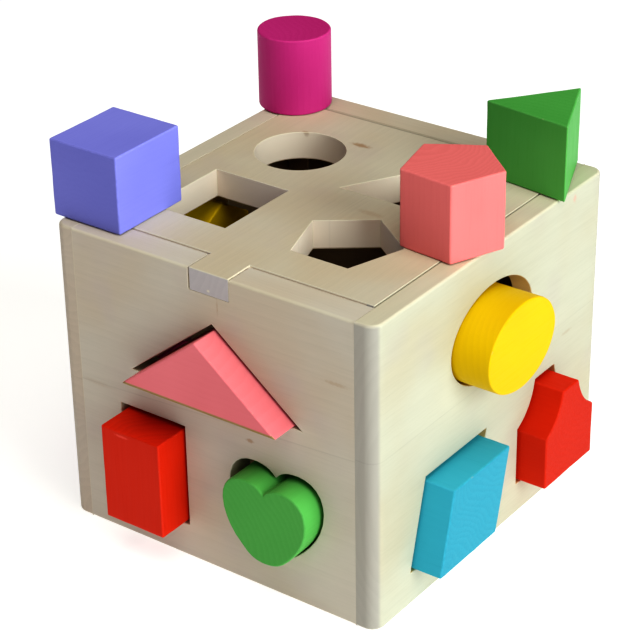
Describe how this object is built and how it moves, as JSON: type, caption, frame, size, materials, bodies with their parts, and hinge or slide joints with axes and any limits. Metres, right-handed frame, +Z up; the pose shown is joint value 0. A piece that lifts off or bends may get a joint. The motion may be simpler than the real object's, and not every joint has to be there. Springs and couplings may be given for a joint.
{
  "type": "shape sorter",
  "caption": "Open wooden box with shaped holes in its lid and three walls, a lift-off lid with a finger tab, and painted blocks that match the holes.",
  "frame": {"origin": "middle of the underside of the box", "axes": "+Z up, +Y towards the plain back wall, +X to the right when the wall with the finger tab is in front"},
  "size_m": [0.167, 0.1648, 0.1537],
  "materials": {
    "bare_wood": "fine-sanded pale wood with a thin clear coat",
    "violet_paint": "satin violet paint on wood",
    "magenta_paint": "satin magenta paint on wood",
    "salmon_paint": "satin salmon paint on wood",
    "green_paint": "satin green paint on wood",
    "pink_paint": "satin pink paint on wood",
    "red_paint": "satin red paint on wood",
    "yellow_paint": "satin yellow paint on wood",
    "cyan_paint": "satin cyan paint on wood"
  },
  "bodies": {
    "box": {"base_board": "bare_wood", "left_wall": "bare_wood", "right_wall": "bare_wood", "front_wall": "bare_wood", "back_wall": "bare_wood", "lid_rest_front_left": "bare_wood", "lid_rest_front_right": "bare_wood", "lid_rest_back_left": "bare_wood", "lid_rest_back_right": "bare_wood"},
    "lid": {"lid": "bare_wood"},
    "square_block": {"square_block": "violet_paint"},
    "round_block": {"round_block": "magenta_paint"},
    "pentagon_block": {"pentagon_block": "salmon_paint"},
    "triangle_block": {"triangle_block": "green_paint"},
    "gable_block": {"gable_block": "pink_paint"},
    "rectangle_block": {"rectangle_block": "red_paint"},
    "heart_block": {"heart_block": "green_paint"},
    "oval_block": {"oval_block": "yellow_paint"},
    "parallelogram_block": {"parallelogram_block": "cyan_paint"},
    "bell_block": {"bell_block": "red_paint"},
    "hexagon_block": {"hexagon_block": "yellow_paint"},
    "trapezoid_block": {"trapezoid_block": "magenta_paint"},
    "dome_block": {"dome_block": "violet_paint"}
  },
  "joints": [
    {"name": "lid_lift", "type": "slide", "parent": "box", "child": "lid", "axis": [0, 0, 1], "range_m": [0, 0.08]},
    {"name": "square_block_lift", "type": "slide", "parent": "lid", "child": "square_block", "axis": [0, 0, 1], "range_m": [0, 0.06]},
    {"name": "round_block_lift", "type": "slide", "parent": "lid", "child": "round_block", "axis": [0, 0, 1], "range_m": [0, 0.06]},
    {"name": "pentagon_block_lift", "type": "slide", "parent": "lid", "child": "pentagon_block", "axis": [0, 0, 1], "range_m": [0, 0.06]},
    {"name": "triangle_block_lift", "type": "slide", "parent": "lid", "child": "triangle_block", "axis": [0, 0, 1], "range_m": [0, 0.06]},
    {"name": "gable_block_push", "type": "slide", "parent": "box", "child": "gable_block", "axis": [0, -1, 0], "range_m": [-0.007, 0.025]},
    {"name": "rectangle_block_push", "type": "slide", "parent": "box", "child": "rectangle_block", "axis": [0, -1, 0], "range_m": [-0.01, 0.022]},
    {"name": "heart_block_push", "type": "slide", "parent": "box", "child": "heart_block", "axis": [0, -1, 0], "range_m": [-0.0046, 0.0274]},
    {"name": "oval_block_push", "type": "slide", "parent": "box", "child": "oval_block", "axis": [1, 0, 0], "range_m": [-0.011, 0.021]},
    {"name": "parallelogram_block_push", "type": "slide", "parent": "box", "child": "parallelogram_block", "axis": [1, 0, 0], "range_m": [-0.008, 0.024]},
    {"name": "bell_block_push", "type": "slide", "parent": "box", "child": "bell_block", "axis": [1, 0, 0], "range_m": [-0.008, 0.024]},
    {"name": "hexagon_block_push", "type": "slide", "parent": "box", "child": "hexagon_block", "axis": [-1, 0, 0], "range_m": [-0.006, 0.026]},
    {"name": "trapezoid_block_push", "type": "slide", "parent": "box", "child": "trapezoid_block", "axis": [-1, 0, 0], "range_m": [-0.008, 0.024]},
    {"name": "dome_block_push", "type": "slide", "parent": "box", "child": "dome_block", "axis": [-1, 0, 0], "range_m": [-0.005, 0.027]}
  ]
}
